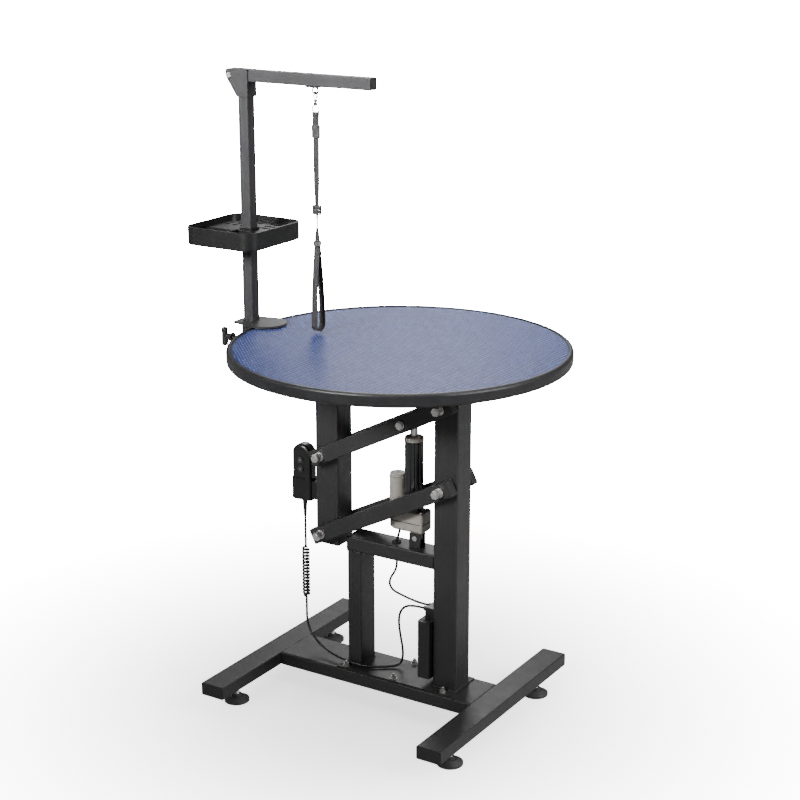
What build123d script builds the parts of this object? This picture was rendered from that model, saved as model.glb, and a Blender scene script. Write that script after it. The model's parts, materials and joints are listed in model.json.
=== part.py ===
"""Electric pet grooming table: parallelogram lift, round top, clamp-on grooming arm. Millimetres."""

from build123d import *
import math
import os

# ---- driving dimensions ------------------------------------------------------------------
TOP_DIAMETER = 625
TOP_X = 55.5               # centre of the round top, from the middle of the whole object
TOP_Z = 704                # height of the trim's lip at the lowest position
BOARD_THICKNESS = 19
MAT_THICKNESS = 3.5
TRIM_WIDTH = 8
TRIM_HEIGHT = 24

BEAM_WIDTH = 50
BEAM_HEIGHT = 25
BEAM_LENGTH = 475
BEAM_BOTTOM = 37
LEFT_BEAM_X = -211
RIGHT_BEAM_X = 262
FOOT_Y = 163
FOOT_RADIUS = 24

PLATE_WIDTH = 100
PLATE_THICKNESS = 3
FLANGE_WIDTH = 92
FLANGE_THICKNESS = 2.5
FLANGE_LEFT = -58
BOLT_XS = (-42, 65, 172)
BOLT_Y = 38

COLUMN = 50                # square section of the main column and of the moving post
COLUMN_WALL = 2.5
COLUMN_X = 167.5
COLUMN_TOP = 640
SHORT_COLUMN_WIDTH = 30
SHORT_COLUMN_X = -31
CHANNEL_BOTTOM = 297
CHANNEL_HEIGHT = 28

LINK_LENGTH = 290          # pivot to pivot
LINK_ANGLE = 27            # slope below level at the lowest position
LINK_HEIGHT = 30
LINK_WIDTH = 20
LINK_OVERHANG = 22
LINK_GAP = 2               # between the column's side and a link
LOWER_PIVOT_Z = 458
UPPER_PIVOT_Z = 612.5
PIVOT_DIAMETER = 10
BUSH_DIAMETER = 14

ACTUATOR_X = 86
ACTUATOR_PIN_RADIUS = 91.7  # from the upper column pivot, along the link
ACTUATOR_TUBE = 35
ROD_DIAMETER = 14
MOTOR_X = 51
MOTOR_DIAMETER = 31
HOUSING_BOTTOM = 356
HOUSING_TOP = 396
HOUSING_DEPTH = 36
CABLE_DIAMETER = 4.5
COIL_DIAMETER = 16

HANDSET_X = -159
ARM_X = -276               # centre of the arm post
ARM_TUBE = 22
ARM_WALL = 1.5
BOOM_BOTTOM = 1156
BOOM_PIN_X = -303.5
STRAP_X = -122
EYE_Z = 1148.1             # centre of the eye under the boom

# ---- values worked out from them ---------------------------------------------------------
BEAM_TOP = BEAM_BOTTOM + BEAM_HEIGHT
FLANGE_TOP = BEAM_TOP + FLANGE_THICKNESS
COLUMN_LEFT = COLUMN_X - COLUMN / 2
COLUMN_RIGHT = COLUMN_X + COLUMN / 2
CHANNEL_TOP = CHANNEL_BOTTOM + CHANNEL_HEIGHT
SHORT_COLUMN_LEFT = SHORT_COLUMN_X - SHORT_COLUMN_WIDTH / 2
LINK_DX = LINK_LENGTH * math.cos(math.radians(LINK_ANGLE))
LINK_DZ = LINK_LENGTH * math.sin(math.radians(LINK_ANGLE))
POST_X = COLUMN_X - LINK_DX
POST_LEFT = POST_X - COLUMN / 2
LINK_INNER_Y = COLUMN / 2 + LINK_GAP
LINK_OUTER_Y = LINK_INNER_Y + LINK_WIDTH
BOARD_BOTTOM = TOP_Z - TRIM_HEIGHT
BOARD_TOP = BOARD_BOTTOM + BOARD_THICKNESS
MAT_TOP = BOARD_TOP + MAT_THICKNESS
BOARD_RADIUS = TOP_DIAMETER / 2 - TRIM_WIDTH
TOP_LEFT = TOP_X - TOP_DIAMETER / 2
PIN_X = COLUMN_X - ACTUATOR_PIN_RADIUS * math.cos(math.radians(LINK_ANGLE))
PIN_Z = UPPER_PIVOT_Z - ACTUATOR_PIN_RADIUS * math.sin(math.radians(LINK_ANGLE))

os.makedirs("parts", exist_ok=True)


# ---- helpers -----------------------------------------------------------------------------
def block(x0, x1, y0, y1, z0, z1):
    """A box from its limits."""
    return Pos((x0 + x1) / 2, (y0 + y1) / 2, (z0 + z1) / 2) * Box(x1 - x0, y1 - y0, z1 - z0)


def along_x(x0, x1, y, z, radius):
    return Pos((x0 + x1) / 2, y, z) * Rot(0, 90, 0) * Cylinder(radius, x1 - x0)


def along_y(x, y0, y1, z, radius):
    return Pos(x, (y0 + y1) / 2, z) * Rot(90, 0, 0) * Cylinder(radius, y1 - y0)


def along_z(x, y, z0, z1, radius):
    return Pos(x, y, (z0 + z1) / 2) * Cylinder(radius, z1 - z0)


def cone_z(x, y, z0, z1, radius0, radius1):
    return Pos(x, y, (z0 + z1) / 2) * Cone(radius0, radius1, z1 - z0)


def hex_y(x, y0, y1, z, across_flats):
    """A hexagonal prism along Y."""
    outline = RegularPolygon(across_flats / 2, 6, major_radius=False)
    return Pos(x, y1, z) * Rot(90, 0, 0) * extrude(outline, y1 - y0)


def hex_z(x, y, z0, z1, across_flats):
    outline = RegularPolygon(across_flats / 2, 6, major_radius=False)
    return Pos(x, y, z0) * extrude(outline, z1 - z0)


def rounded(x0, x1, y0, y1, z0, z1, radius):
    """A box with rounded upright edges."""
    outline = RectangleRounded(x1 - x0, y1 - y0, radius)
    return Pos((x0 + x1) / 2, (y0 + y1) / 2, z0) * extrude(outline, z1 - z0)


def upright_tube(x, width, depth, wall, z0, z1, corner=3):
    """A rectangular tube standing on the centre plane."""
    outer = rounded(x - width / 2, x + width / 2, -depth / 2, depth / 2, z0, z1, corner)
    inner = rounded(x - width / 2 + wall, x + width / 2 - wall, -depth / 2 + wall,
                    depth / 2 - wall, z0 - 1, z1 + 1, max(corner - wall, 0.5))
    return outer - inner


def flat_prism(points, y0, y1):
    """An outline in the X-Z plane, thick from y0 to y1."""
    outline = Polyline(*[(x, z) for x, z in points], close=True)
    return Pos(0, y1, 0) * Rot(90, 0, 0) * extrude(make_face(outline), y1 - y0)


def cord(points, diameter, name):
    """Straight runs joined by arcs that take 0.45 of the shorter run."""
    pts = [Vector(*p) for p in points]
    radii = []
    for before, here, after in zip(pts, pts[1:], pts[2:]):
        turn = math.radians((here - before).get_angle(after - here))
        shorter = min((here - before).length, (after - here).length)
        radii.append(0.45 * shorter / math.tan(turn / 2))
    path = FilletPolyline(*pts, radius=radii)
    section = Plane(origin=path @ 0, z_dir=path % 0) * Circle(diameter / 2)
    tube = sweep(section, path=path)
    ratio = tube.volume / (math.pi * diameter ** 2 / 4 * path.length)
    print(name, "radii", [round(r) for r in radii], "length", round(path.length), "ratio", round(ratio, 4))
    return tube


def save(name, *shapes):
    solids = [s for shape in shapes for s in shape.solids()]
    shape = solids[0] if len(solids) == 1 else Compound(children=solids)
    export_step(shape, f"parts/{name}.step")


# ---- base --------------------------------------------------------------------------------
BEAM_WALL = 2
CAP_FLANGE = 2
CAP_PLUG = 10
STUD_RADIUS = 5
STUD_FIT = 0.08
BOLT_RADIUS = 3


def foot_beam(x):
    half = BEAM_LENGTH / 2 - CAP_FLANGE
    outer = block(x - BEAM_WIDTH / 2, x + BEAM_WIDTH / 2, -half, half, BEAM_BOTTOM, BEAM_TOP)
    outer = fillet(outer.edges().filter_by(Axis.Y), 2.5)
    inner = block(x - BEAM_WIDTH / 2 + BEAM_WALL, x + BEAM_WIDTH / 2 - BEAM_WALL, -half - 1, half + 1,
                  BEAM_BOTTOM + BEAM_WALL, BEAM_TOP - BEAM_WALL)
    beam = outer - inner
    for y in (-FOOT_Y, FOOT_Y):
        beam -= along_z(x, y, BEAM_BOTTOM - 1, BEAM_BOTTOM + BEAM_WALL + 1, STUD_RADIUS + 0.5)
    return beam


def beam_cap(x, side):
    end = side * BEAM_LENGTH / 2
    face = end - side * CAP_FLANGE
    inner = face - side * CAP_PLUG
    flange = block(x - BEAM_WIDTH / 2, x + BEAM_WIDTH / 2, min(face, end), max(face, end), BEAM_BOTTOM, BEAM_TOP)
    flange = fillet(flange.edges().filter_by(Axis.Y), 2.5)
    gap = BEAM_WALL + 0.1
    plug = block(x - BEAM_WIDTH / 2 + gap, x + BEAM_WIDTH / 2 - gap, min(inner, face), max(inner, face),
                 BEAM_BOTTOM + gap, BEAM_TOP - gap)
    return flange + plug


def cross_plate():
    """A sheet folded down along both long sides."""
    x0 = LEFT_BEAM_X + BEAM_WIDTH / 2
    x1 = RIGHT_BEAM_X - BEAM_WIDTH / 2
    half = PLATE_WIDTH / 2
    outer = block(x0, x1, -half, half, BEAM_BOTTOM, BEAM_TOP)
    outer = fillet(outer.edges().filter_by(Axis.X).group_by(Axis.Z)[-1], 3)
    inner = block(x0 - 1, x1 + 1, -half + PLATE_THICKNESS, half - PLATE_THICKNESS,
                  BEAM_BOTTOM - 1, BEAM_TOP - PLATE_THICKNESS)
    plate = outer - inner
    for x in BOLT_XS:
        for y in (-BOLT_Y, BOLT_Y):
            plate -= along_z(x, y, BEAM_TOP - 5, BEAM_TOP + 1, BOLT_RADIUS)
    return plate


def bottom_flange():
    flange = block(FLANGE_LEFT, COLUMN_RIGHT, -FLANGE_WIDTH / 2, FLANGE_WIDTH / 2, BEAM_TOP, FLANGE_TOP)
    for x in BOLT_XS:
        for y in (-BOLT_Y, BOLT_Y):
            flange -= along_z(x, y, BEAM_TOP - 1, FLANGE_TOP + 1, BOLT_RADIUS)
    return flange


def frame_bolt(x, y):
    under = BEAM_TOP - PLATE_THICKNESS
    bolt = hex_z(x, y, under - 4, under, 10) + along_z(x, y, under, FLANGE_TOP + 11, BOLT_RADIUS)
    bolt += along_z(x, y, FLANGE_TOP, FLANGE_TOP + 1.2, 7)
    bolt += hex_z(x, y, FLANGE_TOP + 1.2, FLANGE_TOP + 6.5, 10)
    tip = bolt.edges().filter_by(GeomType.CIRCLE).group_by(Axis.Z)[-1]
    return chamfer(tip, 0.8)


def lock_nut(x, y):
    nut = hex_z(x, y, BEAM_BOTTOM - 7, BEAM_BOTTOM, 17)
    return nut - along_z(x, y, BEAM_BOTTOM - 8, BEAM_BOTTOM + 1, STUD_RADIUS + STUD_FIT)


def levelling_foot(x, y):
    pad = along_z(x, y, 0, 5, FOOT_RADIUS) + cone_z(x, y, 5, 11, FOOT_RADIUS, FOOT_RADIUS * 0.55)
    pad = fillet(pad.edges().filter_by(GeomType.CIRCLE).sort_by(Axis.Z)[0], 1)
    pad += along_z(x, y, 11, 15, 9)
    stud = along_z(x, y, 15, BEAM_TOP - BEAM_WALL - 12, STUD_RADIUS)
    return pad, stud


save("left_foot_beam", foot_beam(LEFT_BEAM_X))
save("right_foot_beam", foot_beam(RIGHT_BEAM_X))
save("base_cross_plate", cross_plate())
save("frame_bottom_plate", bottom_flange())
bolts = [frame_bolt(x, y) for x in BOLT_XS for y in (-BOLT_Y, BOLT_Y)]
nuts = [lock_nut(x, y) for x in (LEFT_BEAM_X, RIGHT_BEAM_X) for y in (-FOOT_Y, FOOT_Y)]
save("frame_bolts", *bolts, *nuts)
for end, y in (("front", -FOOT_Y), ("rear", FOOT_Y)):
    for side, x in (("left", LEFT_BEAM_X), ("right", RIGHT_BEAM_X)):
        save(f"foot_{end}_{side}", *levelling_foot(x, y))


# ---- fixed frame -------------------------------------------------------------------------
GROMMET_X = 50
GROMMET_Y = -3
GROMMET_HOLE = 6


def pivot_holes(shape, x, heights, radius):
    for z in heights:
        shape -= along_y(x, -COLUMN, COLUMN, z, radius)
    return shape


def channel():
    """The closed cross channel between the two columns."""
    half = COLUMN / 2
    outer = block(SHORT_COLUMN_LEFT, COLUMN_LEFT, -half, half, CHANNEL_BOTTOM, CHANNEL_TOP)
    outer = fillet(outer.edges().filter_by(Axis.X), 3)
    wall = COLUMN_WALL
    inner = block(SHORT_COLUMN_LEFT - 1, COLUMN_LEFT + 1, -half + wall, half - wall,
                  CHANNEL_BOTTOM + wall, CHANNEL_TOP - wall)
    return outer - inner - along_z(GROMMET_X, GROMMET_Y, CHANNEL_BOTTOM - 1, CHANNEL_TOP + 1, GROMMET_HOLE)


def channel_cap():
    half = COLUMN / 2
    gap = COLUMN_WALL + 0.1
    flange = block(SHORT_COLUMN_LEFT - 1.5, SHORT_COLUMN_LEFT, -half, half, CHANNEL_BOTTOM, CHANNEL_TOP)
    flange = fillet(flange.edges().filter_by(Axis.X), 3)
    return flange + block(SHORT_COLUMN_LEFT, SHORT_COLUMN_LEFT + 8, -half + gap, half - gap,
                          CHANNEL_BOTTOM + gap, CHANNEL_TOP - gap)


def column_cap():
    gap = COLUMN_WALL + 0.1
    flange = rounded(COLUMN_LEFT, COLUMN_RIGHT, -COLUMN / 2, COLUMN / 2, COLUMN_TOP, COLUMN_TOP + 2.5, 3)
    plug = rounded(COLUMN_LEFT + gap, COLUMN_RIGHT - gap, -COLUMN / 2 + gap, COLUMN / 2 - gap,
                   COLUMN_TOP - 8, COLUMN_TOP, 1)
    return flange + plug


def grommet():
    """A rubber bush in the channel's top and another in its bottom."""
    rings = []
    for z0, z1, lip in ((CHANNEL_TOP - COLUMN_WALL, CHANNEL_TOP, CHANNEL_TOP),
                        (CHANNEL_BOTTOM, CHANNEL_BOTTOM + COLUMN_WALL, CHANNEL_BOTTOM - 2.5)):
        ring = along_z(GROMMET_X, GROMMET_Y, z0, z1, GROMMET_HOLE)
        ring += along_z(GROMMET_X, GROMMET_Y, lip, lip + 2.5, GROMMET_HOLE + 3)
        rings.append(ring - along_z(GROMMET_X, GROMMET_Y, z0 - 5, z1 + 5, CABLE_DIAMETER / 2 + 0.8))
    return rings


def both_ends(side, near, far):
    """The two Y ends, in order, of a piece that sits from near to far out on one side."""
    return sorted((side * near, side * far))


def pivot_bolt(x, z):
    """A through bolt with a washer, a nut and a lock nut at each end."""
    reach = LINK_OUTER_Y + 19
    bolt = along_y(x, -reach, reach, z, PIVOT_DIAMETER / 2)
    for side in (-1, 1):
        bolt += along_y(x, *both_ends(side, LINK_OUTER_Y + 0.3, LINK_OUTER_Y + 2.3), z, 9)
        bolt += hex_y(x, *both_ends(side, LINK_OUTER_Y + 2.3, LINK_OUTER_Y + 9.5), z, 14)
        bolt += hex_y(x, *both_ends(side, LINK_OUTER_Y + 11, LINK_OUTER_Y + 18), z, 14)
    return bolt


save("left_support_column", upright_tube(SHORT_COLUMN_X, SHORT_COLUMN_WIDTH, COLUMN, COLUMN_WALL,
                                         FLANGE_TOP, CHANNEL_BOTTOM))
main_column = upright_tube(COLUMN_X, COLUMN, COLUMN, COLUMN_WALL, FLANGE_TOP, COLUMN_TOP)
save("right_main_column",
     pivot_holes(main_column, COLUMN_X, (LOWER_PIVOT_Z, UPPER_PIVOT_Z), PIVOT_DIAMETER / 2))
save("cross_channel", channel())
beam_caps = [beam_cap(x, side) for x in (LEFT_BEAM_X, RIGHT_BEAM_X) for side in (-1, 1)]
save("tube_end_caps", *beam_caps, channel_cap(), column_cap())
save("cable_grommet", *grommet())


# ---- links -------------------------------------------------------------------------------
LINK_WALL = 2
BUSH_FLANGE = 1.7


def in_link(shape, z):
    """Tip a shape modelled level, with its column pivot at the origin, to the link's slope."""
    return Pos(COLUMN_X, 0, z) * Rot(0, -LINK_ANGLE, 0) * shape


def link(side, pivot_z, pin_hole):
    y0, y1 = sorted((side * LINK_INNER_Y, side * LINK_OUTER_Y))
    x0, x1 = -LINK_LENGTH - LINK_OVERHANG, LINK_OVERHANG
    half = LINK_HEIGHT / 2
    tube = block(x0, x1, y0, y1, -half, half)
    tube = fillet(tube.edges().filter_by(Axis.X), 2)
    tube -= block(x0 + 2, x1 - 2, y0 + LINK_WALL, y1 - LINK_WALL, -half + LINK_WALL, half - LINK_WALL)
    for x in (0, -LINK_LENGTH):
        tube -= along_y(x, y0 - 1, y1 + 1, 0, BUSH_DIAMETER / 2)
    if pin_hole:
        tube -= along_y(-ACTUATOR_PIN_RADIUS, y0 - 1, y1 + 1, 0, PIVOT_DIAMETER / 2)
    return in_link(tube, pivot_z)


def bush(side, x, pivot_z, bore):
    """A flanged bush through a link, its flange on the column's side."""
    y0, y1 = sorted((side * LINK_INNER_Y, side * LINK_OUTER_Y))
    f0, f1 = sorted((side * (LINK_INNER_Y - BUSH_FLANGE), side * LINK_INNER_Y))
    shape = along_y(x, y0, y1, 0, BUSH_DIAMETER / 2) + along_y(x, f0, f1, 0, 11)
    return in_link(shape - along_y(x, y0 - 5, y1 + 5, 0, bore / 2), pivot_z)


for name, side in (("front", -1), ("rear", 1)):
    save(f"{name}_upper_link", link(side, UPPER_PIVOT_Z, True))
    save(f"{name}_lower_link", link(side, LOWER_PIVOT_Z, False))
RUNNING_BORE = PIVOT_DIAMETER + 0.12
OPEN_BORE = PIVOT_DIAMETER + 0.6   # the parallelogram's open pivot
save("lower_link_bushes", *[bush(side, x, LOWER_PIVOT_Z, RUNNING_BORE)
                            for side in (-1, 1) for x in (0, -LINK_LENGTH)])
save("upper_link_bushes", *[bush(side, x, UPPER_PIVOT_Z, bore) for side in (-1, 1)
                            for x, bore in ((0, RUNNING_BORE), (-LINK_LENGTH, OPEN_BORE))])


# ---- actuator ----------------------------------------------------------------------------
BRACKET_X = 93.3
BRACKET_WIDTH = 23.5
EAR_INNER = 6.3
EAR_OUTER = 9.5
LOWER_PIN_Z = 343
ROD_TOP = 556
TUBE_TOP = 530
CAP_TOP = 538
FLUTES = 14


def clevis():
    x0, x1 = BRACKET_X - BRACKET_WIDTH / 2, BRACKET_X + BRACKET_WIDTH / 2
    shape = block(x0, x1, -EAR_OUTER, EAR_OUTER, CHANNEL_TOP, CHANNEL_TOP + 4)
    for side in (-1, 1):
        ear = block(x0, x1, *both_ends(side, EAR_INNER, EAR_OUTER), CHANNEL_TOP + 4, HOUSING_BOTTOM - 1)
        shape += chamfer(ear.edges().filter_by(Axis.Y).group_by(Axis.Z)[-1], 3)
    return shape - along_y(BRACKET_X, -30, 30, LOWER_PIN_Z, 4)


def lower_pin():
    """A clevis pin with a small flat head at each end."""
    pin = along_y(BRACKET_X, -EAR_OUTER - 1, EAR_OUTER + 1, LOWER_PIN_Z, 4)
    for side in (-1, 1):
        pin += along_y(BRACKET_X, *both_ends(side, EAR_OUTER, EAR_OUTER + 1.2), LOWER_PIN_Z, 4.8)
    return pin


def gearbox():
    """A slab rounded round the motor at its left end, with a lug for the lower pin."""
    half = HOUSING_DEPTH / 2
    right = 114
    body = block(MOTOR_X + 4, right, -half, half, HOUSING_BOTTOM, HOUSING_TOP)
    body += along_z(MOTOR_X + 4, 0, HOUSING_BOTTOM, HOUSING_TOP, half)
    body = fillet(body.edges().filter_by(Axis.Z).group_by(Axis.X)[-1], 5)
    body = chamfer(body.edges().group_by(Axis.Z)[0], 4)
    body = fillet(body.edges().group_by(Axis.Z)[-1], 2)
    body += block(BRACKET_X - 8.5, BRACKET_X + 8.5, -EAR_INNER + 0.4, EAR_INNER - 0.4,
                  LOWER_PIN_Z, HOUSING_BOTTOM + 4)
    body += along_y(BRACKET_X, -EAR_INNER + 0.4, EAR_INNER - 0.4, LOWER_PIN_Z, 8.5)
    return body - along_y(BRACKET_X, -30, 30, LOWER_PIN_Z, 4)


def motor():
    can = along_z(MOTOR_X, 0, HOUSING_TOP, 457, MOTOR_DIAMETER / 2)
    cap = along_z(MOTOR_X, 0, 457, 463, MOTOR_DIAMETER / 2 - 0.6)
    cap = fillet(cap.edges().filter_by(GeomType.CIRCLE).group_by(Axis.Z)[-1], 2)
    return can + cap - along_z(MOTOR_X, 0, 459, 470, 3)


def outer_tube():
    tube = along_z(ACTUATOR_X, 0, HOUSING_TOP, TUBE_TOP, ACTUATOR_TUBE / 2)
    for number in range(FLUTES):
        angle = 2 * math.pi * number / FLUTES
        reach = ACTUATOR_TUBE / 2 + 0.9
        tube -= along_z(ACTUATOR_X + reach * math.cos(angle), reach * math.sin(angle),
                        HOUSING_TOP - 1, TUBE_TOP + 1, 2.4)
    return tube - along_z(ACTUATOR_X, 0, HOUSING_TOP + 2, TUBE_TOP + 1, 11)


def tube_cap():
    cap = along_z(ACTUATOR_X, 0, TUBE_TOP, CAP_TOP, ACTUATOR_TUBE / 2 + 0.5)
    cap = fillet(cap.edges().filter_by(GeomType.CIRCLE).group_by(Axis.Z)[-1], 2)
    return cap - along_z(ACTUATOR_X, 0, TUBE_TOP - 1, CAP_TOP + 1, ROD_DIAMETER / 2 + 0.1)


def rod_end():
    """A lug with a level slot: the link pin's arc runs 10 mm sideways in it."""
    swing = ACTUATOR_PIN_RADIUS * (1 - math.cos(math.radians(LINK_ANGLE)))
    centre = PIN_X - swing / 2
    half = swing / 2 + 0.8
    bore = PIVOT_DIAMETER / 2 + 1.3
    ring = bore + 4.5
    lug = block(centre - half, centre + half, -9, 9, PIN_Z - ring, PIN_Z + ring)
    hole = block(centre - half, centre + half, -10, 10, PIN_Z - bore, PIN_Z + bore)
    for x in (centre - half, centre + half):
        lug += along_y(x, -9, 9, PIN_Z, ring)
        hole += along_y(x, -10, 10, PIN_Z, bore)
    lug += along_z(ACTUATOR_X, 0, ROD_TOP, PIN_Z - bore - 1, 8)
    return lug - hole


def link_pin():
    reach = LINK_OUTER_Y + 1
    pin = along_y(PIN_X, -reach, reach, PIN_Z, PIVOT_DIAMETER / 2)
    for side in (-1, 1):
        pin += along_y(PIN_X, *both_ends(side, LINK_OUTER_Y, LINK_OUTER_Y + 1.6), PIN_Z, 8)
        pin += hex_y(PIN_X, *both_ends(side, LINK_OUTER_Y + 1.6, LINK_OUTER_Y + 7), PIN_Z, 13)
        pin += along_y(PIN_X, *both_ends(side, 10, LINK_INNER_Y), PIN_Z, 8)
    return pin


save("actuator_lower_bracket", clevis())
save("column_pivot_bolts", pivot_bolt(COLUMN_X, LOWER_PIVOT_Z), pivot_bolt(COLUMN_X, UPPER_PIVOT_Z), lower_pin())
save("gear_housing", gearbox())
save("motor_housing", motor())
save("actuator_tube", outer_tube())
save("actuator_tube_cap", tube_cap())
save("actuator_rod", along_z(ACTUATOR_X, 0, HOUSING_TOP + 8, ROD_TOP, ROD_DIAMETER / 2), rod_end())
save("actuator_link_pin", link_pin())


# ---- control box -------------------------------------------------------------------------
BOX_LEFT = 116
BOX_BOTTOM = 82
BOX_TOP = 195
PLUG_TOP = 217
PLUG_LEFT = 122
GLAND_TIP = 114
GLAND_Z = 209
GLAND_Y = 8

box_case = rounded(BOX_LEFT, COLUMN_LEFT + 5, -37.5, 37.5, BOX_BOTTOM, BOX_TOP, 4)
box_case -= block(COLUMN_LEFT, COLUMN_LEFT + 6, -40, 40, BOX_BOTTOM - 1, BOX_TOP + 1)
save("control_box_case", box_case)
connectors = block(PLUG_LEFT, COLUMN_LEFT, -20, 20, BOX_TOP, PLUG_TOP)
connectors = fillet(connectors.edges().group_by(Axis.X)[0], 2)
for y in (-GLAND_Y, GLAND_Y):
    connectors += along_x(GLAND_TIP, PLUG_LEFT, y, GLAND_Z, 4)
save("control_box_connectors", connectors)


# ---- moving post and table ---------------------------------------------------------------
FRAME_BOTTOM = 655
FRAME_Y = 60
FRAME_X0, FRAME_X1 = -190, 250
CROSS_BOTTOM = 668
CROSS_XS = (FRAME_X0 + 40, TOP_X, FRAME_X1 - 40)

post = upright_tube(POST_X, COLUMN, COLUMN, COLUMN_WALL, 300, FRAME_BOTTOM - 5)
post += block(POST_LEFT + 2, POST_LEFT + COLUMN - 2, -COLUMN / 2 + 2, COLUMN / 2 - 2, 300, 303)
post_pivots = (LOWER_PIVOT_Z - LINK_DZ, UPPER_PIVOT_Z - LINK_DZ)
save("table_post", pivot_holes(post, POST_X, post_pivots, PIVOT_DIAMETER / 2))


def flat_tube(x0, x1, y0, y1, z0, z1, wall=1.5):
    """A closed rectangular tube lying along its longer side."""
    return block(x0, x1, y0, y1, z0, z1) - block(x0 + wall, x1 - wall, y0 + wall, y1 - wall, z0 + wall, z1 - wall)


def support_frame():
    """Head plate on the post, two long tubes on it, and three cross tubes under the board."""
    plate = block(POST_LEFT - 30, POST_LEFT + COLUMN + 60, -FRAME_Y - 15, FRAME_Y + 15,
                  FRAME_BOTTOM - 5, FRAME_BOTTOM)
    long_tubes = [flat_tube(FRAME_X0, FRAME_X1, y - 12.5, y + 12.5, FRAME_BOTTOM, CROSS_BOTTOM)
                  for y in (-FRAME_Y, FRAME_Y)]
    cross_tubes = [flat_tube(x - 12.5, x + 12.5, -200, 200, CROSS_BOTTOM, BOARD_BOTTOM) for x in CROSS_XS]
    return [plate, *long_tubes, *cross_tubes]


def table_screws():
    return [along_z(x, y, CROSS_BOTTOM - 3, CROSS_BOTTOM, 6) for x in CROSS_XS for y in (-180, 180)]


def ring(outer, inner, z0, z1):
    return along_z(TOP_X, 0, z0, z1, outer) - along_z(TOP_X, 0, z0 - 1, z1 + 1, inner)


def edge_trim():
    """Moulded rim: rounded outside, its lip a little proud of the mat."""
    radius = TOP_DIAMETER / 2
    rim = ring(radius, BOARD_RADIUS, BOARD_BOTTOM, TOP_Z)
    outer_edges = [e for e in rim.edges().filter_by(GeomType.CIRCLE) if e.radius > radius - 1]
    rim = fillet(outer_edges, 5)
    lip = [e for e in rim.edges().filter_by(GeomType.CIRCLE) if abs(e.radius - BOARD_RADIUS) < 0.1]
    return fillet([e for e in lip if e.center().Z > TOP_Z - 1], 1)


save("table_support_frame", *support_frame())
save("post_pivot_bolts", *[pivot_bolt(POST_X, z) for z in post_pivots], *table_screws())
save("tabletop_board", along_z(TOP_X, 0, BOARD_BOTTOM, BOARD_TOP, BOARD_RADIUS))
save("rubber_mat", along_z(TOP_X, 0, BOARD_TOP, MAT_TOP, BOARD_RADIUS))
save("edge_trim", edge_trim())


# ---- handset -----------------------------------------------------------------------------
CUP_BOTTOM, CUP_TOP = 372, 415
CUP_X0, CUP_X1 = HANDSET_X - 23, HANDSET_X + 23
CUP_Y = 15
CUP_WALL = 1.7
HANDSET_BOTTOM = 375.3
HANDSET_TOP = 483.5
HANDSET_THICK = 26
HANDSET_WIDE = 42
RELIEF_BOTTOM = 336.5
COIL_TOP = 276
COIL_BOTTOM = 165


def holder():
    """A cup open at the top, slotted behind for the lead, on a stub from the post."""
    cup = rounded(CUP_X0, CUP_X1, -CUP_Y, CUP_Y, CUP_BOTTOM, CUP_TOP, 9)
    cup = fillet(cup.edges().group_by(Axis.Z)[0], 3)
    cup -= rounded(CUP_X0 + CUP_WALL, CUP_X1 - CUP_WALL, -CUP_Y + CUP_WALL, CUP_Y - CUP_WALL,
                   CUP_BOTTOM + 3, CUP_TOP + 1, 7.3)
    cup -= along_z(HANDSET_X, 0, CUP_BOTTOM - 1, CUP_BOTTOM + 4, 7)
    cup -= block(HANDSET_X - 4.5, HANDSET_X + 4.5, 0, CUP_Y + 1, CUP_BOTTOM - 1, CUP_TOP + 1)
    cup += block(CUP_X1 - 0.5, POST_LEFT, -9, 9, CUP_BOTTOM + 5, CUP_TOP - 3)
    return cup


def handset_body():
    """A rounded slab, wide along X, with a half-round top."""
    half = HANDSET_WIDE / 2
    back = HANDSET_THICK / 2
    body = rounded(HANDSET_X - half, HANDSET_X + half, -back, back, HANDSET_BOTTOM, HANDSET_TOP, 7)
    top = block(HANDSET_X - half - 1, HANDSET_X + half + 1, -back - 1, back + 1,
                HANDSET_TOP - half, HANDSET_TOP + 1)
    dome = along_y(HANDSET_X, -back, back, HANDSET_TOP - half, half)
    dome = fillet(dome.edges().filter_by(GeomType.CIRCLE), 6)
    return body - (top - dome)


def shell_half(side):
    """The half of the casing on one side of the centre plane, hollow behind a 2 mm face."""
    half = HANDSET_WIDE / 2
    back = HANDSET_THICK / 2
    whole = block(HANDSET_X - half - 1, HANDSET_X + half + 1, *both_ends(side, 0, back),
                  HANDSET_BOTTOM - 1, HANDSET_TOP + 1)
    cavity = block(HANDSET_X - half + 3, HANDSET_X + half - 3, *both_ends(side, 0, back - 2),
                   HANDSET_BOTTOM + 3, HANDSET_TOP - half)
    lead_hole = along_z(HANDSET_X, 0, HANDSET_BOTTOM - 1, HANDSET_BOTTOM + 3.5, 3)
    return (handset_body() & whole) - cavity - lead_hole


BUTTON_RADIUS = 6.5
BUTTON_Z = {"button_up": 452, "button_down": 434}
front = shell_half(-1)
for z in BUTTON_Z.values():
    front -= along_y(HANDSET_X, -16, -8, z, BUTTON_RADIUS + 0.25)
save("handset_front_shell", front)
save("handset_back_shell", shell_half(1))
for name, z in BUTTON_Z.items():
    button = along_y(HANDSET_X, -15, -9.3, z, BUTTON_RADIUS)
    button = fillet(button.edges().filter_by(GeomType.CIRCLE).group_by(Axis.Y)[0], 1.2)
    save(name, button + along_y(HANDSET_X, -10.6, -9.3, z, BUTTON_RADIUS + 1.2))
relief = along_z(HANDSET_X, 0, HANDSET_BOTTOM, HANDSET_BOTTOM + 3, 2.9)
relief += along_z(HANDSET_X, 0, HANDSET_BOTTOM - 6, HANDSET_BOTTOM, 5)
relief += cone_z(HANDSET_X, 0, RELIEF_BOTTOM, HANDSET_BOTTOM - 6, 2.9, 5)
save("handset_strain_relief", relief)
save("handset_holder", holder())
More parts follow.
